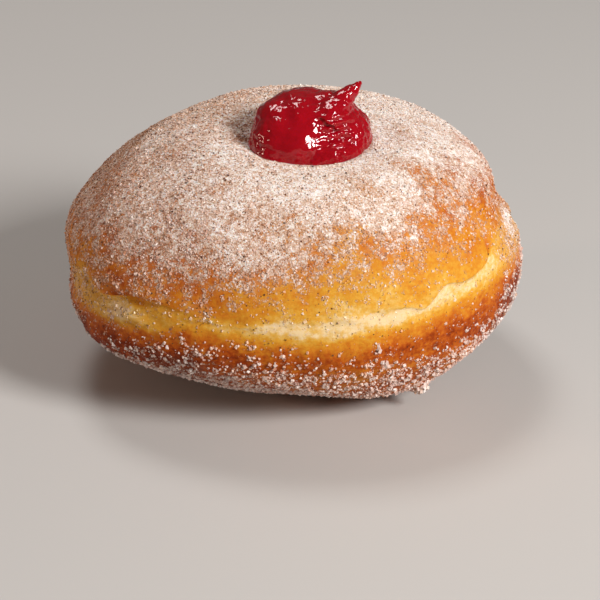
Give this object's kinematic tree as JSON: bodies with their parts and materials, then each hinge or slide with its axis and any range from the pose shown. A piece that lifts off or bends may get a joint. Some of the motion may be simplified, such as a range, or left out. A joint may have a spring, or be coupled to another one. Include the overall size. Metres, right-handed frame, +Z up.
{
  "type": "jelly filled doughnut",
  "caption": "Round sugared yeast doughnut with a pale belt round its middle and a mound of red jelly piped in at the top.",
  "frame": {"origin": "under the middle of the whole, on the surface that it rests on", "axes": "+Z up from the foot to the jelly, -Y to the front, +X to the right, the side that the jelly's tail leans to"},
  "size_m": [0.089, 0.0882, 0.06],
  "materials": {
    "sugared_crust": "golden brown fried crust, dull, dusted with granulated sugar and cinnamon",
    "red_jelly": "deep red, wet and glossy, slightly see-through at its thin edges"
  },
  "bodies": {
    "root": {"dough": "sugared_crust", "jelly": "red_jelly"}
  },
  "joints": []
}
